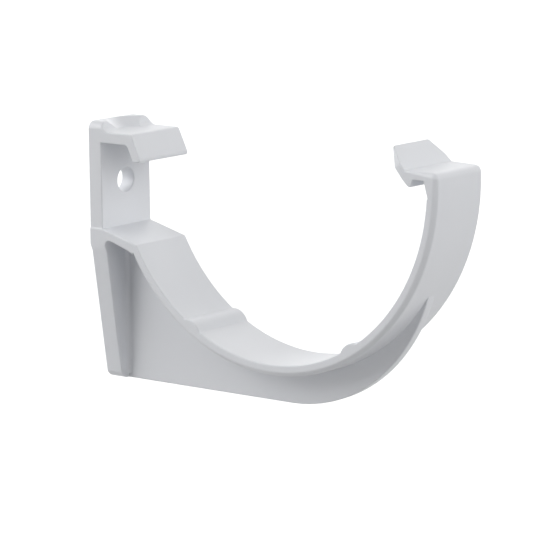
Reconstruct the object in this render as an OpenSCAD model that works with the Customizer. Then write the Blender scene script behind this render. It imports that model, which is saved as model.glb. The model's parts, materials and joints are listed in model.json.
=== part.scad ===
// Fascia bracket for a half-round gutter, injection moulded in one piece.
// X runs away from the wall, Y along the gutter and Z up, in millimetres.
// The origin is on the axis of the screw hole, in the flat back that lies on the wall.

/* [Gutter] */
// Outside diameter of the half-round gutter
gutter_d = 112; // [100:0.5:124]
// Gap between the gutter and the band of the cradle
gutter_gap = 1; // [0.7:0.05:1.5]
// Distance from the wall to the back of the cradle's circle
wall_gap = 11.6; // [11:0.1:14]
// Width of the bracket along the gutter
bracket_w = 22.3; // [20:0.1:30]

/* [Back plate] */
// Thickness of the plate above the shelf
plate_t = 5; // [4:0.1:6]
// Height of the plate's top above the upper face of the hook
plate_rim = 2.8; // [2:0.1:4]
// Radius of the plate's two top corners
plate_corner_r = 2.4; // [1:0.1:2.6]
// How far the cradle stands out past each side of the plate
side_step = 0.25; // [0:0.05:0.8]

/* [Screw hole] */
// Diameter of the screw hole
hole_d = 7.2; // [4:0.1:9]
// Distance from the middle of the gutter down to the screw hole
hole_drop = 10.1; // [9:0.1:12]

/* [Rear hook] */
// Height of the hook's underside above the middle of the gutter
hook_rise = 2.1; // [1:0.1:4]
// Thickness of the hook's arm
hook_t = 3.4; // [2.5:0.1:4.5]
// Distance from the wall to the bend of the hook
hook_reach = 16.9; // [15.5:0.1:19]
// Height of the hook's sloping lip
hook_lip_h = 8.2; // [6.5:0.1:9.5]
// Thickness of the hook's lip
hook_lip_t = 3.1; // [2.2:0.1:3.6]
// Lean of the hook's lip from the vertical, in degrees
hook_lean = 26; // [10:1:35]
// Radius of the hook's bend
hook_r = 1.1; // [0.3:0.1:1.4]
// Radius of the fillet between the hook's upper face and the plate
hook_fillet = 2.6; // [0.5:0.1:2.8]

/* [Scoop above the hook] */
// Radius of the scoop at the top of the plate
scoop_r = 8.8; // [8:0.1:12]
// Wall of the plate that the scoop leaves at its thinnest
scoop_wall = 0.6; // [0.5:0.1:3]
// Slope of the scoop's side from the vertical, in degrees
scoop_slope = 50; // [10:1:55]

/* [Shelf] */
// Distance from the middle of the gutter down to the shelf, at the plate
shelf_drop = 23.65; // [20:0.1:26]
// Thickness of the shelf
shelf_t = 2.5; // [2:0.1:4]

/* [Tail] */
// Thickness of the tail, which runs down the wall below the shelf
tail_t = 6; // [4.5:0.1:7]
// Width of the tail under its shoulders
tail_top_w = 20.6; // [17:0.1:22]
// Width of the tail at its lower end
tail_w = 9; // [8:0.1:14]
// Radius of the corners at the tail's lower end
tail_corner_r = 2.6; // [1:0.1:3]
// Radius of the corner between the tail and the shelf, inside the hollows
hollow_r = 2; // [1:0.1:4]

/* [Cradle band] */
// Thickness of the band
band_t = 3.3; // [2.5:0.1:4.5]
// Bevel along the band's two outer edges
band_bevel = 1.1; // [0.3:0.1:1.6]
// Start of the band at the shelf, in degrees below the middle of the gutter
band_start = 28.5; // [24:0.5:32]

/* [Gutter rests] */
// Angle of the two rests from the bottom of the band, in degrees
rest_angle = 30.6; // [15:0.2:45]
// Width of a rest across the foot
rest_w = 6.8; // [4:0.1:9]
// Height of a rest above the band
rest_h = 1.3; // [0.6:0.05:2]

/* [Web] */
// Thickness of the web
web_t = 3; // [2:0.1:5]
// Depth of the web's level edge below the inside of the band
web_drop = 13; // [9:0.1:18]
// Radius of the web's front edge, which runs out into the band
web_r = 53; // [50:0.2:56]
// Radius of the fillet between the web and the tail
web_fillet = 1.5; // [0.5:0.1:2.5]

/* [Front clip] */
// Height of the clip's underside above the middle of the gutter
clip_rise = 1.1; // [0.5:0.1:3]
// Thickness of the clip's arm
clip_t = 2.4; // [2:0.1:4]
// Distance from the middle of the gutter to the front of the thumb tab's foot
clip_tab_x = 49.3; // [46:0.1:51]
// How far the clip's inner face leans in over the front edge of the gutter
clip_grip = 1.3; // [0.5:0.1:2]
// Start of that inner face, in degrees below the middle of the gutter
clip_turn = 3.7; // [2:0.1:6]
// Depth of the relief in the band under that face
clip_relief = 0.5; // [0.2:0.05:0.8]
// Depth of the lip under the clip's arm
clip_lip = 2.1; // [1:0.1:3]
// Radius of the clip's outer corner
clip_corner_r = 2; // [0.5:0.1:2.3]
// Height of the thumb tab above the clip's arm
tab_h = 6.2; // [4:0.1:9]
// Lean of the thumb tab towards the wall, in degrees
tab_lean = 43; // [25:1:50]
// Thickness of the thumb tab at its foot
tab_foot_t = 2; // [1.6:0.1:2.6]
// Thickness of the thumb tab at its top
tab_top_t = 0.9; // [0.8:0.1:1.6]
// Width of the thumb tab at its top
tab_top_w = 16.8; // [10:0.1:20]
// Radius of the thumb tab's two top corners
tab_corner_r = 2; // [0.5:0.1:3]

/* [Hidden] */
$fn = 96;
shelf_lap = 0.05;                        // how far the shelf's top laps over the seat
over = 1;                                // how far a cut or a joint runs past its edge
edge_r = 0.4;                            // the small corners of a moulding
hook_inset = 0.1;                        // the hook is this much narrower on each side
white = [0.93, 0.93, 0.95];

seat_r = gutter_d / 2 + gutter_gap;      // inside of the band
band_r = seat_r + band_t;                // outside of the band
core_r = seat_r + band_t / 2;            // middle of the band
gutter_x = wall_gap + seat_r;            // middle of the gutter
gutter_z = hole_drop;
half_w = bracket_w / 2;
plate_half = half_w - side_step;

hook_under = gutter_z + hook_rise;
hook_top = hook_under + hook_t;
plate_top = hook_top + plate_rim;

first = 180 + band_start;                // the band turns from here to the clip
shelf_z = gutter_z - shelf_drop;
shelf_end = on_circle(seat_r - shelf_lap, first);
shelf_foot = on_circle(band_r, first + 1);
web_z = gutter_z - seat_r - web_drop;

shoulder_z = shelf_z - 2 * shelf_t;
shoulder_h = 2;

clip_under = gutter_z + clip_rise;
clip_top = clip_under + clip_t;
tab_x = gutter_x + clip_tab_x;
tab_back = tab_x - tab_foot_t / cos(tab_lean);
tab_waist_r = 3;                         // where the tab starts to narrow

// A point on a circle round the middle of the gutter, in the side view.
function on_circle(r, a) = [gutter_x + r * cos(a), gutter_z + r * sin(a)];

function unit(v) = v / norm(v);

// A corner that stays sharp.
function sharp(p) = [p[0], p[1], 0];

// An outline whose corners, given as [x, y, radius], are rounded.
function rounded(corners) =
    let (n = len(corners))
    [for (i = [0:n - 1]) each
        round_corner(corners[(i + n - 1) % n], corners[i], corners[(i + 1) % n])];

// The arc that rounds one corner between its two neighbours.
function round_corner(before, corner, after) =
    let (
        p = [corner[0], corner[1]],
        a = unit([before[0], before[1]] - p),
        b = unit([after[0], after[1]] - p),
        half = acos(a * b) / 2,
        r = corner[2]
    )
    r == 0 ? [p] :
    let (
        middle = p + unit(a + b) * r / sin(half),
        side = a[0] * b[1] - a[1] * b[0] > 0 ? 1 : -1,
        from = atan2(p[1] - middle[1], p[0] - middle[0]) + side * (90 - half),
        steps = max(3, ceil((90 - half) / 8))
    )
    [for (i = [0:steps])
        let (t = from - side * (180 - 2 * half) * i / steps)
            middle + r * [cos(t), sin(t)]];

// Extrudes a side view along the gutter, centred on the bracket.
module along_gutter(w) {
    rotate([90, 0, 0])
        linear_extrude(height = w, center = true)
            children();
}

// Extrudes a front view away from the wall.
module off_wall(t) {
    rotate([90, 0, 90])
        linear_extrude(height = t)
            children();
}

// Fills the inner corner between two faces with a fillet.
module fillet(before, corner, after) {
    p = [corner[0], corner[1]];
    root = p - over / 2 * unit(unit([before[0], before[1]] - p) + unit([after[0], after[1]] - p));
    polygon(concat([root], round_corner(before, corner, after)));
}

module plate_front() {
    polygon(rounded([
        [-plate_half, plate_top, plate_corner_r],
        [plate_half, plate_top, plate_corner_r],
        [plate_half, shoulder_z, 0],
        [-plate_half, shoulder_z, 0]
    ]));
}

module back_plate() {
    off_wall(plate_t)
        plate_front();
}

// The tail narrows from its two shoulders to its lower end.
module tail() {
    off_wall(tail_t)
        polygon(rounded([
            [-half_w, shelf_z - shelf_t / 2, 0],
            [half_w, shelf_z - shelf_t / 2, 0],
            [half_w, shoulder_z, shoulder_h / 2],
            [tail_top_w / 2, shoulder_z - shoulder_h, shoulder_h / 2],
            [tail_w / 2, web_z, tail_corner_r],
            [-tail_w / 2, web_z, tail_corner_r],
            [-tail_top_w / 2, shoulder_z - shoulder_h, shoulder_h / 2],
            [-half_w, shoulder_z, shoulder_h / 2]
        ]));
}

// The rear hook holds the back edge of the gutter down.
module rear_hook() {
    tip_z = hook_top - hook_lip_h;
    tip_x = hook_reach + hook_lip_h * tan(hook_lean);
    thick = hook_lip_t / cos(hook_lean);
    root = plate_t - over;
    width = 2 * (plate_half - hook_inset);
    along_gutter(width)
        polygon(rounded([
            [root, hook_top, 0],
            [hook_reach, hook_top, hook_r],
            [tip_x, tip_z, hook_r],
            [tip_x - thick, tip_z, edge_r],
            [tip_x - thick - (hook_under - tip_z) * tan(hook_lean), hook_under, hook_r],
            [root, hook_under, 0]
        ]));
    // The fillet ends at the plate's rounded corners.
    intersection() {
        along_gutter(width)
            fillet([plate_t, plate_top], [plate_t, hook_top, hook_fillet], [hook_reach, hook_top]);
        off_wall(plate_t + hook_fillet)
            plate_front();
    }
}

// A cone scooped out of the plate's top, down to the hook.
module scoop() {
    spread = tan(scoop_slope);
    translate([scoop_wall + scoop_r, 0, hook_top])
        cylinder(h = plate_rim + over,
                 r1 = scoop_r - plate_rim * spread,
                 r2 = scoop_r + over * spread);
}

// The shelf slopes from the plate to the band, with round corners under it beside the web.
module shelf() {
    slope = (shelf_foot[1] - shelf_z + shelf_t) / (shelf_foot[0] - plate_t);
    corner = [tail_t, shelf_z - shelf_t + slope * (tail_t - plate_t), hollow_r];
    foot = [shelf_foot[0], shelf_foot[1], hollow_r];
    along_gutter(bracket_w)
        polygon(concat(
            [[0, shelf_z], [plate_t, shelf_z], shelf_end, on_circle(core_r, first + 4)],
            round_corner(on_circle(band_r, first + 8), foot, corner),
            round_corner(foot, corner, [tail_t, web_z]),
            [[0, corner[1]]]
        ));
}

// The cradle's band: a revolved strip with bevelled outer edges, relieved under the clip.
module band() {
    translate([gutter_x, 0, gutter_z])
        rotate([-90, 0, 0])
            difference() {
                rotate_extrude(angle = 360 - first, $fn = 180)
                    polygon([
                        [seat_r, -half_w],
                        [seat_r, half_w],
                        [band_r - band_bevel, half_w],
                        [band_r, half_w - band_bevel],
                        [band_r, -half_w + band_bevel],
                        [band_r - band_bevel, -half_w]
                    ]);
                rotate([0, 0, -clip_turn])
                    rotate_extrude(angle = 2 * clip_turn, $fn = 180)
                        translate([seat_r - over, -half_w - over])
                            square([over + clip_relief, bracket_w + 2 * over]);
            }
}

// A rounded rest across the band carries the gutter clear of it.
module gutter_rest(a) {
    r = (rest_w * rest_w / 4 + rest_h * rest_h) / (2 * rest_h);
    along_gutter(bracket_w)
        intersection() {
            translate(on_circle(seat_r - rest_h + r, a))
                circle(r = r);
            translate([gutter_x, gutter_z])
                circle(r = core_r, $fn = 180);
        }
}

// The web stands on edge in the middle, under the shelf and the band.
module web() {
    middle_z = shelf_z - shelf_t / 2;
    along_gutter(web_t)
        difference() {
            union() {
                translate([plate_t, web_z])
                    square([gutter_x - plate_t, web_r]);
                translate([gutter_x, web_z + web_r])
                    circle(r = web_r, $fn = 180);
            }
            translate([gutter_x, gutter_z])
                circle(r = core_r, $fn = 180);
            polygon([
                [0, middle_z],
                [plate_t, middle_z],
                on_circle(core_r, first),
                [gutter_x, gutter_z],
                [gutter_x, gutter_z + gutter_d],
                [0, gutter_z + gutter_d]
            ]);
        }
}

// Fillets between the web and the tail.
module web_fillets() {
    h = shelf_z - shelf_t - web_z;
    side = web_t / 2;
    translate([0, 0, web_z])
        linear_extrude(height = h)
            for (m = [0, 1])
                mirror([0, m])
                    fillet([tail_t, half_w], [tail_t, side, web_fillet], [gutter_x, side]);
}

// The front clip stands on the end of the band and snaps over the gutter's front edge.
module front_clip() {
    outer_x = gutter_x + band_r;
    foot = on_circle(seat_r + clip_relief / 2, -clip_turn);
    mouth = [foot[0] - clip_grip, clip_under];
    lip_z = clip_under - clip_lip;
    lip_x = tab_back + (clip_top - lip_z) * tan(tab_lean);
    intersection() {
        along_gutter(bracket_w)
            polygon(rounded([
                [tab_back, clip_top, 0],
                [tab_x, clip_top, 0],
                [outer_x, clip_top, clip_corner_r],
                [outer_x, gutter_z, 0],
                [gutter_x + core_r, gutter_z, 0],
                sharp(on_circle(core_r, -2 * clip_turn)),
                sharp(foot + (foot - mouth) * 0.1),
                [mouth[0], mouth[1], edge_r],
                [lip_x + 4 * edge_r, clip_under, edge_r],
                [lip_x + 2 * edge_r, lip_z, edge_r],
                [lip_x, lip_z, edge_r]
            ]));
        // The band's bevels run on up the clip.
        translate([0, 0, clip_under - seat_r])
            linear_extrude(height = 2 * seat_r)
                polygon([
                    [gutter_x, -half_w],
                    [outer_x - band_bevel, -half_w],
                    [outer_x, -half_w + band_bevel],
                    [outer_x, half_w - band_bevel],
                    [outer_x - band_bevel, half_w],
                    [gutter_x, half_w]
                ]);
    }
}

// The thumb tab leans back over the gutter and narrows towards its top.
module thumb_tab() {
    rise = tab_h / cos(tab_lean);
    waist = tab_h / 4;
    translate([tab_x, 0, clip_top])
        rotate([0, -tab_lean, 0])
            intersection() {
                along_gutter(bracket_w)
                    polygon(rounded([
                        [-clip_t / 2, -clip_t, 0],
                        [0, 0, 0],
                        [0, rise, edge_r],
                        [-tab_top_t, rise, edge_r],
                        [-tab_foot_t, 0, 0],
                        [-tab_foot_t, -clip_t / 2, 0]
                    ]));
                translate([-tab_foot_t - over, 0, 0])
                    off_wall(tab_foot_t + 2 * over)
                        polygon(rounded([
                            [-half_w, -clip_t, 0],
                            [half_w, -clip_t, 0],
                            [half_w, waist, tab_waist_r],
                            [tab_top_w / 2, rise, tab_corner_r],
                            [-tab_top_w / 2, rise, tab_corner_r],
                            [-half_w, waist, tab_waist_r]
                        ]));
            }
}

module bracket() {
    color(white)
        difference() {
            union() {
                back_plate();
                tail();
                rear_hook();
                shelf();
                            band();
                gutter_rest(270 - rest_angle);
                gutter_rest(270 + rest_angle);
                web();
                web_fillets();
                front_clip();
                thumb_tab();
            }
            scoop();
            translate([-over, 0, 0])
                rotate([0, 90, 0])
                    cylinder(d = hole_d, h = plate_t + 2 * over);
        }
}

bracket();
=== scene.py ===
# %% [markdown]
# # A fascia bracket for a half-round gutter
# The bracket is one white moulding. A back plate with a screw hole lies on the fascia board, a hook at its top
# holds the gutter's back edge, a curved cradle carries the gutter, and a clip snaps over the front edge.
# The packed part already has the true sizes, so the lesson opens it first and models a finer piece in its place.

# %% Open the packed part
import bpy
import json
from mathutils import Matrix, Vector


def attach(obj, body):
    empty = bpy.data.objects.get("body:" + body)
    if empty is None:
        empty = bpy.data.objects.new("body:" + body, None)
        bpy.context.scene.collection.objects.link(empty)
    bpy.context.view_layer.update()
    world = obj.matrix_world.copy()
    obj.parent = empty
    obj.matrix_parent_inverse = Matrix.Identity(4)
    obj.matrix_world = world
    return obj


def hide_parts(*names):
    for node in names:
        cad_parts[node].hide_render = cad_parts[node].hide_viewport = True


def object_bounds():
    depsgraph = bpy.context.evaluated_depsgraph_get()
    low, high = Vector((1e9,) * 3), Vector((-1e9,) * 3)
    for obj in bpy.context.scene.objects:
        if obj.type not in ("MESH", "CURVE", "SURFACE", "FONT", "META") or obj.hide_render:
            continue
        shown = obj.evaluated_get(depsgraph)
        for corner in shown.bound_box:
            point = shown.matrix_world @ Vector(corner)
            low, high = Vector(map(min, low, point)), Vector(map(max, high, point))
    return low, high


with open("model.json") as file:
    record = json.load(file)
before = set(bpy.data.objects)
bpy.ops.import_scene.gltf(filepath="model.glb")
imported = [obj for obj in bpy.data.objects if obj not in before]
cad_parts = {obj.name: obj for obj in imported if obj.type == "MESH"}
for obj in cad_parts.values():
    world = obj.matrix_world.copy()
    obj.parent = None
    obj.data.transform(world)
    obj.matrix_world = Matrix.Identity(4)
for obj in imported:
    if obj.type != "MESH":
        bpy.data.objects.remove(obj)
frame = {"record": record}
cad_box = [list(corner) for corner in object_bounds()]

import json
import math

import bmesh
import bpy
from mathutils import Matrix, Vector

MM = 0.001  # one millimetre, in metres
low, high = ([round(side / MM, 3) for side in corner] for corner in cad_box)
mounts = {mount["name"]: mount for mount in frame["record"]["mounts"]}
print("the packed bracket reaches from", low, "to", high, "mm and has the mounts", list(mounts))

# %% [markdown]
# ## Hand tools
# Everything below is made as by hand: a form is put down, its points are moved and extruded in edit mode, and
# points and edges are picked by where they lie. These helpers only save typing.
# Sizes are in millimetres, and they become metres at the moment an operator is called.

# %% Put down and pick up
def put_down():
    """Back to object mode with nothing selected."""
    if bpy.context.mode != "OBJECT":
        bpy.ops.object.mode_set(mode="OBJECT")
    bpy.ops.object.select_all(action="DESELECT")


def pick_up(piece):
    """Selects one piece alone and makes it active."""
    put_down()
    piece.select_set(True)
    bpy.context.view_layer.objects.active = piece


def edit(piece, kind):
    """Opens one piece in edit mode with nothing in it selected; kind is VERT, EDGE or FACE."""
    pick_up(piece)
    bpy.ops.object.mode_set(mode="EDIT")
    bpy.ops.mesh.select_mode(type=kind)
    bpy.ops.mesh.select_all(action="DESELECT")


put_down()
print("nothing is selected, in", bpy.context.mode.lower(), "mode")

# %% Pick points and edges by place
CLOSE = 0.02  # how near a point must be to count as the same place


def at(p, spot):
    """True where a point stands over one spot of the side view."""
    return abs(p.x - spot[0]) < CLOSE and abs(p.z - spot[1]) < CLOSE


def pick_points(piece, test):
    """Selects the points of the piece in edit mode that pass a test of their place."""
    mesh = bmesh.from_edit_mesh(piece.data)
    for point in mesh.verts:
        point.select_set(test(point.co / MM))
    bmesh.update_edit_mesh(piece.data)


def pick_edges(piece, test):
    """Selects the edges whose two ends pass a test together, and says how many they are."""
    mesh = bmesh.from_edit_mesh(piece.data)
    for edge in mesh.edges:
        edge.select_set(test(edge.verts[0].co / MM, edge.verts[1].co / MM))
    picked = sum(edge.select for edge in mesh.edges)
    bmesh.update_edit_mesh(piece.data)
    return picked


print("points within", CLOSE, "mm count as one place")

# %% Trace an outline and pull it out
def trace(name, outline, place, pull):
    """Draws an outline point by point, fills it and pulls it out; place turns its two numbers into a point."""
    put_down()
    bpy.ops.mesh.primitive_plane_add(size=MM)
    piece = bpy.context.object
    piece.name = piece.data.name = name
    edit(piece, "VERT")
    bpy.ops.mesh.select_all(action="SELECT")
    bpy.ops.mesh.merge(type="CENTER")
    points = [Vector(place(*spot)) * MM for spot in outline]
    bpy.ops.transform.translate(value=points[0])
    for here, there in zip(points, points[1:] + points[:1]):
        bpy.ops.mesh.extrude_vertices_move(TRANSFORM_OT_translate={"value": there - here})
    bpy.ops.mesh.select_all(action="SELECT")
    bpy.ops.mesh.remove_doubles(threshold=1e-7)
    bpy.ops.mesh.edge_face_add()
    bpy.ops.mesh.extrude_region_move(TRANSFORM_OT_translate={"value": Vector(pull) * MM})
    bpy.ops.mesh.select_all(action="SELECT")
    bpy.ops.mesh.normals_make_consistent(inside=False)
    put_down()
    print(name, "is traced with", len(piece.data.polygons), "faces")
    return piece


def side_view(name, outline, half_width):
    """Traces an outline as seen from the side, and pulls it out across the bracket's middle."""
    return trace(name, outline, lambda x, z: (x, -half_width, z), (0, 2 * half_width, 0))


print("outlines can be traced and pulled out")

# %% Points along an arc
def arc(middle, radius, start, stop, step=2.5):
    """Points along an arc, with its angles in degrees."""
    count = max(1, round(abs(stop - start) / step))
    turns = [math.radians(start + (stop - start) * i / count) for i in range(count + 1)]
    return [(middle[0] + radius * math.cos(turn), middle[1] + radius * math.sin(turn)) for turn in turns]


print("a quarter turn takes", len(arc((0, 0), 1, 0, 90)), "points")

# %% [markdown]
# ## The side view
# Seen from the side, the whole moulding is one closed line: up the back plate, over the hook, down to the shelf,
# round the seat, over the clip, and back along the outside of the band to the tail.
# Drawing that line once and pulling it out keeps every part of it in line, where separate blocks would have to be
# fused along shared faces, which is where meshes tear.

# %% The circles of the cradle
gutter = mounts["gutter_cradle"]["pos_m"]
GUTTER_MIDDLE = (round(gutter[0] / MM, 3), round(gutter[2] / MM, 3))
SEAT, BACK = 57.0, 60.3  # radius of the seat and of the band's outer face
SEAT_START, SEAT_STOP = 208.5, 356.3  # degrees, from straight out, up and round
STEP = 0.25  # the small step at the clip's foot; each side of the plate also lies this far inside the shelf's
STEP_TURN = 0.25  # degrees that the step takes along the seat


def on_circle(radius, degrees):
    """The spot on a circle round the gutter's middle."""
    return arc(GUTTER_MIDDLE, radius, degrees, degrees)[0]


clip_foot = on_circle(SEAT + STEP, SEAT_STOP)
print("the gutter's middle is at", GUTTER_MIDDLE, "and the clip starts at", [round(v, 2) for v in clip_foot])

# %% The seat and its two rests
REST_ANGLE = 30.6  # degrees from straight down


def rest(angle, height=1.3, width=6.8):
    """One rounded rest on the seat: where it begins and ends, in degrees, and its outline."""
    radius = (width**2 / 4 + height**2) / (2 * height)
    reach = SEAT - height + radius
    spread = math.degrees(math.acos((reach**2 + SEAT**2 - radius**2) / (2 * reach * SEAT)))
    middle = on_circle(reach, angle)
    ends = [on_circle(SEAT, angle + side * spread) for side in (-1, 1)]
    first, last = (math.degrees(math.atan2(z - middle[1], x - middle[0])) % 360 for x, z in ends)
    return angle - spread, angle + spread, arc(middle, radius, first, last, 12)


rests = [rest(270 - REST_ANGLE), rest(270 + REST_ANGLE)]
seat = []
begin = SEAT_START
for rest_begin, rest_end, rest_line in rests:
    seat += arc(GUTTER_MIDDLE, SEAT, begin, rest_begin) + rest_line[1:-1]
    begin = rest_end
seat += arc(GUTTER_MIDDLE, SEAT, begin, SEAT_STOP - STEP_TURN)
print("the seat line has", len(seat), "points")

# %% The plate and the hook
SHELF = -13.55
PLATE_THICK, PLATE_TOP = 5.0, 18.4
HOOK_TOP, HOOK_UNDER = 15.6, 12.2
HOOK_REACH, LIP_DROP, LIP_THICK = 16.9, 8.2, 3.1
HOOK_FILLET = 2.85
hook_lean = math.tan(math.radians(26))
lip_tip = (HOOK_REACH + LIP_DROP * hook_lean, HOOK_TOP - LIP_DROP)
lip_heel = (lip_tip[0] - LIP_THICK * math.hypot(1, hook_lean), lip_tip[1])
hook_corner = (lip_heel[0] - (HOOK_UNDER - lip_tip[1]) * hook_lean, HOOK_UNDER)
hook_toe = (HOOK_REACH, HOOK_TOP)
hook_fillet = arc((PLATE_THICK + HOOK_FILLET, HOOK_TOP + HOOK_FILLET), HOOK_FILLET, 181, 270, 12)
plate_and_hook = [(0, SHELF), (0, SHELF + STEP), (0, PLATE_TOP), (PLATE_THICK, PLATE_TOP)]
plate_and_hook += hook_fillet[1:] + [hook_toe, lip_tip, lip_heel, hook_corner, (PLATE_THICK, HOOK_UNDER)]
plate_and_hook += [(PLATE_THICK, SHELF + STEP), (PLATE_THICK, SHELF)]
print("the hook's lip ends at", [round(v, 2) for v in lip_tip])

# %% The leaning tab
CLIP_TOP = 13.6
TAB_FOOT = (117.9, CLIP_TOP)
TAB_ROOT, TAB_WAIST, TAB_LENGTH = -1.5, 2.8, 8.55  # measured up the slope
TAB_THICK, TAB_TIP_THICK = 2.3, 0.6
tab_lean = math.radians(43)


def on_tab(back, climb):
    """A point of the leaning tab, from how far it is behind the front face and how far up the slope."""
    return (TAB_FOOT[0] - back * math.cos(tab_lean) - climb * math.sin(tab_lean),
            TAB_FOOT[1] - back * math.sin(tab_lean) + climb * math.cos(tab_lean))


tab_root = on_tab(TAB_THICK, TAB_ROOT)
tab_waist = [on_tab(TAB_THICK, TAB_WAIST), on_tab(0, TAB_WAIST)]
tab_tip = [on_tab(TAB_TIP_THICK, TAB_LENGTH), on_tab(0, TAB_LENGTH)]
print("the tab's tip stands", round(tab_tip[1][1], 2), "mm above the screw")

# %% The clip and its catch
CLIP_UNDER = 11.2
CLIP_SLANT = 1.3  # how far the clip's inside leans in from its foot to its ceiling
CATCH_X, CATCH_DROP = 119.25, 2.1  # the catch is the small lip that grips the gutter's edge
CATCH_EDGE, CATCH_ROOT = 0.8, 1.6  # its thickness
FRONT = high[0]
catch_z = CLIP_UNDER - CATCH_DROP
clip = [clip_foot, (clip_foot[0] - CLIP_SLANT, CLIP_UNDER), (CATCH_X + CATCH_ROOT, CLIP_UNDER)]
clip += [(CATCH_X + CATCH_EDGE, catch_z), (CATCH_X, catch_z)]
clip += [tab_root, tab_waist[0], *tab_tip, tab_waist[1], TAB_FOOT, (FRONT, CLIP_TOP)]
print("the catch hangs", CATCH_DROP, "mm under the clip")

# %% The band's outside and the tail
HALF_WIDTH, BOTTOM = high[1], low[2]
BAND_END = 209.5  # degrees, where the band runs into the shelf
TAIL_THICK, SHELF_THICK = 6.0, 2.5
TAIL_MARKS = [(-18.55, HALF_WIDTH), (-20.55, 10.3), (BOTTOM, 4.5)]  # height and half width
band_foot = on_circle(BACK, BAND_END)
fall = (SHELF - SHELF_THICK - band_foot[1]) / (band_foot[0] - PLATE_THICK)
hollow = (TAIL_THICK, SHELF - SHELF_THICK - fall)
tail = [(TAIL_THICK, z) for z, _ in TAIL_MARKS] + [(0, z) for z, _ in TAIL_MARKS[::-1]]
whole_line = plate_and_hook + seat + clip + arc(GUTTER_MIDDLE, BACK, 360, BAND_END) + [hollow] + tail
moulding = side_view("moulding", whole_line, HALF_WIDTH)

# %% [markdown]
# ## Narrow the tab, the plate and the tail
# The moulding isn't the same width all the way. The tab leans in to a narrower tip, the plate and hook stand a
# quarter of a millimetre inside the shelf, and the tail tapers to a small foot.
# A line is drawn across both side faces where the width starts to change, and then the points beyond it are moved
# in. That keeps each side face flat, where scaling the whole end would bend it.

# %% Split the sides and move them in
TAB_WAIST_HALF, TAB_TIP_HALF = 10.75, 8.0
HOOK_SIDE = 25  # everything nearer the wall than this belongs to the plate and the hook


def split_sides(piece, here, there):
    """Joins two spots of the side view with an edge across both side faces."""
    for side in (-1, 1):
        edit(piece, "VERT")
        pick_points(piece, lambda p: p.y * side > 0 and (at(p, here) or at(p, there)))
        bpy.ops.mesh.vert_connect_path()
    put_down()


def narrow(piece, half_width, test):
    """Moves the picked points of both sides in, so that they end at a half width."""
    for side in (-1, 1):
        edit(piece, "VERT")
        pick_points(piece, lambda p: p.y * side > 0 and test(p))
        bpy.ops.transform.translate(value=(0, side * (half_width - HALF_WIDTH) * MM, 0))
    put_down()


split_sides(moulding, tab_root, TAB_FOOT)
split_sides(moulding, *tab_waist)
narrow(moulding, TAB_WAIST_HALF, lambda p: any(at(p, spot) for spot in tab_waist))
narrow(moulding, TAB_TIP_HALF, lambda p: any(at(p, spot) for spot in tab_tip))
for z in (SHELF, SHELF + STEP):
    split_sides(moulding, (0, z), (PLATE_THICK, z))
narrow(moulding, HALF_WIDTH - STEP, lambda p: p.z > SHELF + STEP - CLOSE and p.x < HOOK_SIDE)
for z, _ in TAIL_MARKS[:2]:
    split_sides(moulding, (0, z), (TAIL_THICK, z))
for z, half_width in TAIL_MARKS:
    narrow(moulding, half_width, lambda p: at(p, (0, z)) or at(p, (TAIL_THICK, z)))
print("narrowed to", [round(v / MM, 2) for v in moulding.dimensions], "mm")

# %% [markdown]
# ## Round the corners
# A mould has no sharp inner corners: plastic flows better round a curve, and the part is stronger there.
# Each corner is an edge with two known faces, so a bevel by the right distance gives the radius that is wanted.
# The big radii come first, while the mesh is still simple.

# %% Round the tab's corners
TIP_RADIUS, WAIST_RADIUS = 0.9, 3.0


def round_off(piece, radius, test, segments):
    """Bevels the picked edges so that they end at a radius; a sharper corner needs a longer reach."""
    edit(piece, "EDGE")
    picked = pick_edges(piece, test)
    chosen = (edge for edge in bmesh.from_edit_mesh(piece.data).edges if edge.select)
    reach = radius * math.tan(max(edge.calc_face_angle() for edge in chosen) / 2)
    bpy.ops.mesh.bevel(offset=reach * MM, segments=segments, affect="EDGES", clamp_overlap=False)
    put_down()
    print("rounded", picked, "edges to", radius, "mm")


def beside(spots):
    """The edges between two spots, on the sides only."""
    return lambda p, q: p.y * q.y > 0 and all(any(at(r, spot) for spot in spots) for r in (p, q))


round_off(moulding, TIP_RADIUS, beside(tab_tip), 4)
round_off(moulding, WAIST_RADIUS, beside(tab_waist), 4)

# %% Round the foot, the hollows, the clip, the hook and the rests
FOOT_RADIUS, HOLLOW_RADIUS, FRONT_RADIUS, HOOK_RADIUS, REST_RADIUS = 2.6, 2.0, 2.0, 1.1, 0.8


def at_foot(p, q):
    """The two corners of the tail's lower end."""
    return max(p.z, q.z) < BOTTOM + CLOSE and abs(p.y - q.y) < CLOSE


def through(spot):
    """The edge that runs the whole width through one spot of the side view."""
    return lambda p, q: at(p, spot) and at(q, spot)


round_off(moulding, FOOT_RADIUS, at_foot, 6)
for spot in (hollow, band_foot):
    round_off(moulding, HOLLOW_RADIUS, through(spot), 6)
round_off(moulding, FRONT_RADIUS, through((FRONT, CLIP_TOP)), 8)
for spot in (hook_toe, hook_corner, lip_tip):
    round_off(moulding, HOOK_RADIUS, through(spot), 5)
for _, _, rest_line in rests:
    for spot in (rest_line[0], rest_line[-1]):
        round_off(moulding, REST_RADIUS, through(spot), 3)

# %% [markdown]
# ## The chamfer along the band
# The band's outer edges are cut at forty-five degrees all the way round, over the clip's front corner too, and so
# are the two sides of the hook's lip. They could be drawn as faces of their own, but one bevel with a single
# segment makes such a cut and keeps it even.

# %% Chamfer the outer edges
CHAMFER, LIP_CHAMFER = 1.1, 1.0
CORNER_MIDDLE = (FRONT - FRONT_RADIUS, CLIP_TOP - FRONT_RADIUS)


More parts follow.
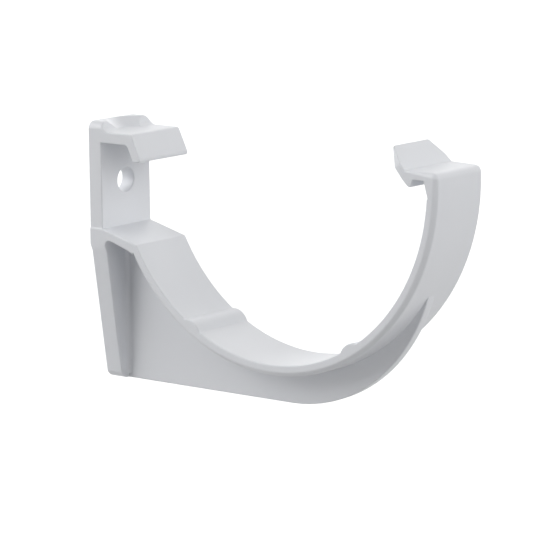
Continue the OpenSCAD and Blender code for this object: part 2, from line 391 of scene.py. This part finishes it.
def on_outside(p):
    """True on the side edges of the band's outer face and of the front corner above it."""
    if abs(abs(p.y) - HALF_WIDTH) > CLOSE:
        return False
    if p.z < GUTTER_MIDDLE[1] + CLOSE:
        return abs(math.hypot(p.x - GUTTER_MIDDLE[0], p.z - GUTTER_MIDDLE[1]) - BACK) < CLOSE
    past_x, past_z = p.x - CORNER_MIDDLE[0], p.z - CORNER_MIDDLE[1]
    return min(past_x, past_z) > -CLOSE and abs(math.hypot(past_x, past_z) - FRONT_RADIUS) < CLOSE


def on_lip(p):
    """True on the side edges of the hook's leaning front face, below its rounded top."""
    behind = (p.x - HOOK_REACH) - (HOOK_TOP - p.z) * hook_lean
    return abs(behind) < CLOSE and p.z < HOOK_TOP - 0.1 and p.x < HOOK_SIDE


for width, test in ((CHAMFER, on_outside), (LIP_CHAMFER, on_lip)):
    edit(moulding, "EDGE")
    chamfered = pick_edges(moulding, lambda p, q: test(p) and test(q) and abs(p.y - q.y) < CLOSE)
    bpy.ops.mesh.bevel(offset=width * MM, segments=1, affect="EDGES", clamp_overlap=False)
    put_down()
    print("chamfered", chamfered, "edges by", width, "mm")

# %% [markdown]
# ## The web
# A thin wall under the band stiffens it, so that the weight of a full gutter doesn't bend it down.
# It is traced and pulled out like the side view, and then fused with the moulding. Fusing works on exact shapes,
# and two faces that should lie in one plane but miss it by a hair leave torn slivers. Snapping all points to a very
# fine grid first makes such planes agree.

# %% Trace the web
WEB_HALF = 1.5
WEB_MIDDLE, WEB_RADIUS = (GUTTER_MIDDLE[0], -6.9), 53.0
INSIDE_TAIL = 3  # where the web and its fillets end, hidden in the tail
CORE = (SEAT + BACK) / 2  # the middle of the band's thickness
drop = GUTTER_MIDDLE[1] - WEB_MIDDLE[1]
web_rise = math.degrees(math.asin((WEB_RADIUS**2 + drop**2 - CORE**2) / (2 * WEB_RADIUS * drop)))
tip_x, tip_z = arc(WEB_MIDDLE, WEB_RADIUS, web_rise, web_rise)[0]
tip_angle = math.degrees(math.atan2(tip_z - GUTTER_MIDDLE[1], tip_x - GUTTER_MIDDLE[0])) % 360
web_line = [(INSIDE_TAIL, BOTTOM)] + arc(WEB_MIDDLE, WEB_RADIUS, 270, 360 + web_rise)
web_line += arc(GUTTER_MIDDLE, CORE, tip_angle, SEAT_START, 4)[1:]
web_line += [(INSIDE_TAIL, SHELF - SHELF_THICK / 2)]
web = side_view("web", web_line, WEB_HALF)

# %% Trace the fillets at its root
ROOT_FILLET = 1.5
ROOT_BOTTOM, ROOT_TOP = BOTTOM + 1.3, -16.0  # from above the foot's round corners to just inside the shelf
fillet = arc((TAIL_THICK + ROOT_FILLET, WEB_HALF + ROOT_FILLET), ROOT_FILLET, 180, 270, 15)
root_line = [(INSIDE_TAIL, -2 * WEB_HALF)] + [(x, -y) for x, y in fillet] + fillet[::-1]
root_line += [(INSIDE_TAIL, 2 * WEB_HALF)]
root = trace("root", root_line, lambda x, y: (x, y, ROOT_BOTTOM), (0, 0, ROOT_TOP - ROOT_BOTTOM))


# %% Fuse them with the moulding
def snap(piece):
    """Snaps every point to a grid of a ten-thousandth of a millimetre."""
    for point in piece.data.vertices:
        point.co = [round(c / MM, 4) * MM for c in point.co]


def combine(piece, tool, operation):
    """Fuses or cuts with an exact Boolean and throws the tool away."""
    snap(piece)
    snap(tool)
    pick_up(piece)
    joint = piece.modifiers.new("joint", "BOOLEAN")
    joint.operation, joint.object, joint.solver = operation, tool, "EXACT"
    bpy.ops.object.modifier_apply(modifier=joint.name)
    put_down()
    bpy.data.objects.remove(tool)
    print(piece.name, "has", len(piece.data.polygons), "faces after a", operation.lower())


combine(moulding, web, "UNION")
combine(moulding, root, "UNION")

# %% [markdown]
# ## Corners, screw hole and scoop
# The plate's two top corners are rounded off. The screw hole goes straight through the plate, and a cone-shaped
# scoop in front of the plate leaves room for the head of a screwdriver.
# The rounding would run into the hook's fillet, which a bevel can't follow, so the waste is cut away with a shape
# of its own, as a file would take it off.

# %% Cut the waste from the top corners
CORNER_RADIUS = 2.4
WASTE_TOP, WASTE_SIDE = 20, 12  # just outside the plate
WASTE_BACK, WASTE_DEPTH = -1, 9  # from behind the plate to past the fillet
corner_y, corner_z = HALF_WIDTH - STEP - CORNER_RADIUS, PLATE_TOP - CORNER_RADIUS
waste_line = [(corner_y, WASTE_TOP), (WASTE_SIDE, WASTE_TOP), (WASTE_SIDE, corner_z)]
waste_line += arc((corner_y, corner_z), CORNER_RADIUS, 0, 90, 11.25)
for side in (-1, 1):
    outline = [(side * y, z) for y, z in waste_line]
    waste = trace("waste", outline, lambda y, z: (WASTE_BACK, y, z), (WASTE_DEPTH, 0, 0))
    combine(moulding, waste, "DIFFERENCE")

# %% Drill the screw hole
drill_radius = mounts["screw_hole"]["dims"]["r_mm"]
DRILL_LENGTH = 8
put_down()
bpy.ops.mesh.primitive_cylinder_add(
    vertices=64, radius=drill_radius * MM, depth=DRILL_LENGTH * MM,
    location=(PLATE_THICK / 2 * MM, 0, 0), rotation=(0, math.pi / 2, 0))
drill = bpy.context.object
bpy.ops.object.transform_apply(location=True, rotation=True, scale=True)
combine(moulding, drill, "DIFFERENCE")

# %% Sink the scoop
SCOOP_RADIUS, SCOOP_WALL, SCOOP_HEIGHT = 8.8, 0.6, 3.8
flare = math.tan(math.radians(50))
below_rim = PLATE_TOP - HOOK_TOP
put_down()
bpy.ops.mesh.primitive_cone_add(
    vertices=96, radius1=(SCOOP_RADIUS - below_rim * flare) * MM,
    radius2=(SCOOP_RADIUS + (SCOOP_HEIGHT - below_rim) * flare) * MM, depth=SCOOP_HEIGHT * MM,
    location=((SCOOP_WALL + SCOOP_RADIUS) * MM, 0, (HOOK_TOP + SCOOP_HEIGHT / 2) * MM))
scoop = bpy.context.object
bpy.ops.object.transform_apply(location=True, rotation=True, scale=True)
combine(moulding, scoop, "DIFFERENCE")

# %% Clean the mesh
SAME_POINT, FLAT = 2e-6, math.radians(0.3)  # metres apart, and the turn between two faces


def open_edges(piece):
    """How many edges don't have exactly two faces; a closed solid has none."""
    mesh = bmesh.new()
    mesh.from_mesh(piece.data)
    count = sum(len(edge.link_faces) != 2 for edge in mesh.edges)
    mesh.free()
    return count


edit(moulding, "VERT")
bpy.ops.mesh.select_all(action="SELECT")
bpy.ops.mesh.remove_doubles(threshold=SAME_POINT)
bpy.ops.mesh.dissolve_limited(angle_limit=FLAT)
bpy.ops.mesh.select_all(action="SELECT")
bpy.ops.mesh.normals_make_consistent(inside=False)
put_down()
print("the cleaned moulding has", open_edges(moulding), "open edges")

# %% [markdown]
# ## Soft edges
# No edge of a moulding is sharp: the tool marks are polished away and the plastic shrinks back a little.
# A bevel modifier rounds each outer edge by under half a millimetre. Its reach is set edge by edge with a weight,
# because the tab, the thin wall behind the scoop and the small steps have no room for the full radius.
# Where two edges run on in nearly the same direction, they need the same weight, or the rounding would overlap.

# %% Weigh the edges
THIN_PLASTIC = 0.6  # the share of the full rounding where the plastic is thin
SHARP_FROM = math.radians(28)  # edges that turn less than this stay as they are
ACROSS = 8  # an edge whose middle is nearer the centre than this runs across the bracket
SCOOP_FRONT, SCOOP_SIDE = 9, 9.5  # the scoop's rim lies within these
FADE_FROM, FADE_OVER = 16.4, 1.6  # the height where the rim starts to soften, and over how much it does
CLIP_SIDE = 100  # the tab and the catch lie further out than this


def softness(middle):
    """The share of the full rounding that an edge takes, from the place of its middle."""
    angle = math.degrees(math.atan2(middle.z - GUTTER_MIDDLE[1], middle.x - GUTTER_MIDDLE[0])) % 360
    if abs(middle.y) < ACROSS and abs(angle - SEAT_STOP) < 0.6 and abs(middle.x - clip_foot[0]) < 0.5:
        return 0.0  # the small step where the clip begins
    if abs(middle.z - BOTTOM) < 1.5 and TAIL_THICK - CLOSE < middle.x < TAIL_THICK + 2:
        return 0.0  # the foot of the web's fillets
    if middle.x < SCOOP_FRONT and middle.z > HOOK_TOP - CLOSE and abs(middle.y) < SCOOP_SIDE:
        if middle.z > PLATE_TOP - 0.05:
            return THIN_PLASTIC  # the thin wall behind the scoop
        return max(0.0, min(1.0, (middle.z - FADE_FROM) / FADE_OVER))  # the scoop's rim, fading out downwards
    if CLIP_SIDE < middle.x < CATCH_X + CATCH_ROOT + 0.1 and middle.z > catch_z - CLOSE:
        return THIN_PLASTIC  # the tab and the catch
    return 1.0


mesh = bmesh.new()
mesh.from_mesh(moulding.data)
weight = mesh.edges.layers.float.new("bevel_weight_edge")
outer_edges = [edge for edge in mesh.edges if edge.calc_face_angle_signed(0) > SHARP_FROM]
for edge in outer_edges:
    edge[weight] = softness((edge.verts[0].co + edge.verts[1].co) / 2 / MM)
print("weighed", len(outer_edges), "outer edges of", len(mesh.edges))
mesh.to_mesh(moulding.data)
mesh.free()

# %% [markdown]
# The rounding itself is done by the modifier, which is applied at once. Normals weighted by the size of the faces
# then keep the flat faces flat, so that light only bends at the edges. Without them a flat face looks puffed up.

# %% Round the edges
SOFT = 0.4
SMOOTH_UNDER = math.radians(35)

pick_up(moulding)
rounding = moulding.modifiers.new("rounding", "BEVEL")
rounding.width, rounding.segments, rounding.limit_method = SOFT * MM, 3, "WEIGHT"
rounding.use_clamp_overlap, rounding.loop_slide, rounding.miter_outer = False, False, "MITER_SHARP"
bpy.ops.object.modifier_apply(modifier=rounding.name)
bpy.ops.object.shade_smooth_by_angle(angle=SMOOTH_UNDER)
evening = moulding.modifiers.new("evening", "WEIGHTED_NORMAL")
evening.keep_sharp, evening.weight = True, 60
bpy.ops.object.modifier_apply(modifier=evening.name)
put_down()
print("rounded:", len(moulding.data.polygons), "faces,", open_edges(moulding), "open edges")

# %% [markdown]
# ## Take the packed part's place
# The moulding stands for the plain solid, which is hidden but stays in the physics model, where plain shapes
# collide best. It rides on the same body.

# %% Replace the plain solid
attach(moulding, "root")
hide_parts("bracket")
print("the moulding measures", [round(v / MM, 2) for v in moulding.dimensions], "mm")

# %% [markdown]
# ## White gutter plastic
# The bracket is unplasticised PVC, filled with white pigment. It is nearly neutral with a touch of blue, and it has
# a satin gloss that isn't quite even: the mould was polished more in some places than in others, and the melt
# leaves faint clouds and slow waves where it flowed. Noise at three sizes gives those, and each acts only a little.
# A small class lets the noise be added and scaled like ordinary numbers instead of wiring maths nodes one by one.

# %% Shader sums written as sums
class Wire:
    """One output of a shader node, or with no socket the bare start of a node tree."""

    def __init__(self, tree, socket=None):
        self.tree, self.socket = tree, socket

    def node(self, kind, output, inputs, **settings):
        """Adds any node, sets or links its inputs by name or number, and gives back one of its outputs."""
        made = self.tree.nodes.new(kind)
        for name, value in settings.items():
            setattr(made, name, value)
        for name, value in inputs.items():
            if isinstance(value, Wire):
                value.into(made.inputs[name])
            else:
                made.inputs[name].default_value = value
        return Wire(self.tree, made.outputs[output])

    def into(self, socket):
        self.tree.links.new(self.socket, socket)

    def sum(self, operation, left, right):
        return self.node("ShaderNodeMath", 0, {0: left, 1: right}, operation=operation)

    def __add__(self, other):
        return self.sum("ADD", self, other)

    def __mul__(self, other):
        return self.sum("MULTIPLY", self, other)

    def __sub__(self, other):
        return self.sum("SUBTRACT", self, other)

    def __rsub__(self, other):
        return self.sum("SUBTRACT", other, self)

    __radd__, __rmul__ = __add__, __mul__


def new_material(name):
    """A node material, its shader, and a wire that starts in its tree."""
    material = bpy.data.materials.new(name)
    material.use_nodes = True
    return material, material.node_tree.nodes["Principled BSDF"], Wire(material.node_tree)


print("wires can stand on the right too:", [name for name in vars(Wire) if name.startswith("__r")])

# %% Mix the plastic
CLOUD_SIZE, FLOW_SIZE, GRAIN_SIZE = 26, 9, 0.55  # in millimetres
SATIN, PVC_IOR = 0.30, 1.53
DEEP_WHITE, CLEAR_WHITE = (0.790, 0.806, 0.842, 1), (0.818, 0.830, 0.856, 1)
plastic, shader, start = new_material("white_gutter_plastic")
place = start.node("ShaderNodeTexCoord", "Object", {})


def noise(size, detail, distortion=0.0):
    """Smooth noise from 0 to 1 whose spots are about size millimetres across."""
    inputs = {"Vector": place, "Scale": 1 / (size * MM), "Detail": detail, "Distortion": distortion}
    return place.node("ShaderNodeTexNoise", 0, inputs)


clouds = noise(CLOUD_SIZE, 3)
flow = noise(FLOW_SIZE, 2, 0.6)
grain = noise(GRAIN_SIZE, 2)
whites = {0: clouds * 0.8 + flow * 0.2, 6: DEEP_WHITE, 7: CLEAR_WHITE}
tint = clouds.node("ShaderNodeMix", 2, whites, data_type="RGBA")
gloss = SATIN + clouds * 0.07 + flow * 0.04 + grain * 0.03
waves = flow * 0.05 + grain * 0.004  # in millimetres
relief = waves.node("ShaderNodeBump", 0, {"Height": waves * MM, "Strength": 1.0, "Distance": 1.0})
tint.into(shader.inputs["Base Color"])
gloss.into(shader.inputs["Roughness"])
relief.into(shader.inputs["Normal"])
shader.inputs["IOR"].default_value = PVC_IOR
moulding.data.materials.clear()
moulding.data.materials.append(plastic)
print(plastic.name, "has", len(plastic.node_tree.nodes), "nodes")

# %% [markdown]
# ## Floor and backdrop
# The bracket hangs in the air as it would on a wall, above a wide pale table.
# The table adds white of its own wherever the camera or a reflection sees it, so that it fills the background
# without throwing more light on the bracket, and the bracket's shadow still falls on it.

# %% Lay the floor
FLOOR_DROP, FLOOR_SIZE = 0.26, 8  # in metres
TABLE_GLOW = 0.78


def seen_directly(start):
    """One where the camera or a mirror-like surface looks straight at a point, else nought."""
    camera, glossy, clear = (
        start.node("ShaderNodeLightPath", f"Is {kind} Ray", {}) for kind in ("Camera", "Glossy", "Transmission"))
    return camera + glossy + clear


put_down()
bpy.ops.mesh.primitive_plane_add(size=FLOOR_SIZE, location=(0, 0, -FLOOR_DROP))
floor = bpy.context.object
floor.name = "floor"
table_top, table_shader, table_start = new_material("pale_table")
table_shader.inputs["Base Color"].default_value = (0.45, 0.45, 0.45, 1)
table_shader.inputs["Roughness"].default_value = 0.9
table_shader.inputs["Emission Strength"].default_value = 1.0
(seen_directly(table_start) * TABLE_GLOW).into(table_shader.inputs["Emission Color"])
floor.data.materials.append(table_top)
print("the floor lies", FLOOR_DROP, "m below the screw")

# %% Set the world
AIR = 0.02  # the little light that comes from everywhere
world = bpy.data.worlds.new("studio")
bpy.context.scene.world = world
world.use_nodes = True
sky = world.node_tree.nodes["Background"]
sky.inputs["Color"].default_value = (1, 1, 1, 1)
in_passing = 1 - seen_directly(Wire(world.node_tree))
(1 - in_passing * (1 - AIR)).into(sky.inputs["Strength"])
print("the world is white to look at and gives", AIR, "as light")

# %% [markdown]
# ## Soft lamps
# White plastic shows its form only through gentle steps of grey, so no lamp may be hard or hot. Each lamp here is
# a wide soft source. As the camera sees it, two stand on the left, high and low, and one on the right, and together
# they shape the plate, the hook and the band. Three more stand further round, behind the bracket, and brighten the
# inside of the cradle and the back.

# %% Hang the lamps
LAMP_SPREAD, LAMP_DISTANCE = math.radians(60), 2


def soft_lamp(name, azimuth, elevation, power):
    """A very wide lamp far away; its place is given as for a camera that goes round the bracket."""
    turn, tilt = math.radians(azimuth), math.radians(elevation)
    towards = Vector((math.sin(turn) * math.cos(tilt), -math.cos(turn) * math.cos(tilt), math.sin(tilt)))
    lamp = bpy.data.lights.new(name, "SUN")
    lamp.energy, lamp.angle = power, LAMP_SPREAD
    holder = bpy.data.objects.new(name, lamp)
    bpy.context.scene.collection.objects.link(holder)
    holder.location = towards * LAMP_DISTANCE
    holder.rotation_euler = towards.to_track_quat("Z", "Y").to_euler()


LAMPS = (
    ("near_high", 315, 40, 1.48),
    ("near_low", 315, 15, 0.78),
    ("right", 88, 20, 1.46),
    ("far_right", 135, 20, 0.34),
    ("far_side", 180, 16, 0.97),
    ("wall_side", 225, 30, 0.36),
)
for lamp in LAMPS:
    soft_lamp(*lamp)
print(len(LAMPS), "lamps hang")

# %% [markdown]
# ## The camera
# The bracket is seen from the front left and a little above, through a long lens, so that its parallel edges stay
# almost parallel. The camera's three directions are worked out from its angles and put into one matrix, because a
# small roll is easier to add that way than with a target.

# %% Place the camera
AZIMUTH, ELEVATION, ROLL = (math.radians(angle) for angle in (39.5, 10.22, -0.7))
AIM = Vector((0.06227, 0, -0.02308))
DISTANCE, FOCAL_LENGTH = 1.0, 225.8
level = math.cos(ELEVATION)
backward = Vector((math.sin(AZIMUTH) * level, -math.cos(AZIMUTH) * level, math.sin(ELEVATION)))
rightward = Vector((math.cos(AZIMUTH), math.sin(AZIMUTH), 0))
upward = backward.cross(rightward)
turned_right = math.cos(ROLL) * rightward + math.sin(ROLL) * upward
turned_up = math.cos(ROLL) * upward - math.sin(ROLL) * rightward
stand = Matrix((turned_right, turned_up, backward)).transposed().to_4x4()
stand.translation = AIM + backward * DISTANCE

lens = bpy.data.cameras.new("camera")
lens.lens, lens.sensor_width, lens.clip_start, lens.clip_end = FOCAL_LENGTH, 36, 0.01, 50
camera = bpy.data.objects.new("camera", lens)
bpy.context.scene.collection.objects.link(camera)
camera.matrix_world = stand
bpy.context.scene.camera = camera
bpy.context.scene.view_settings.view_transform = "Standard"
print("the camera stands at", [round(v, 3) for v in stand.translation])

# %% [markdown]
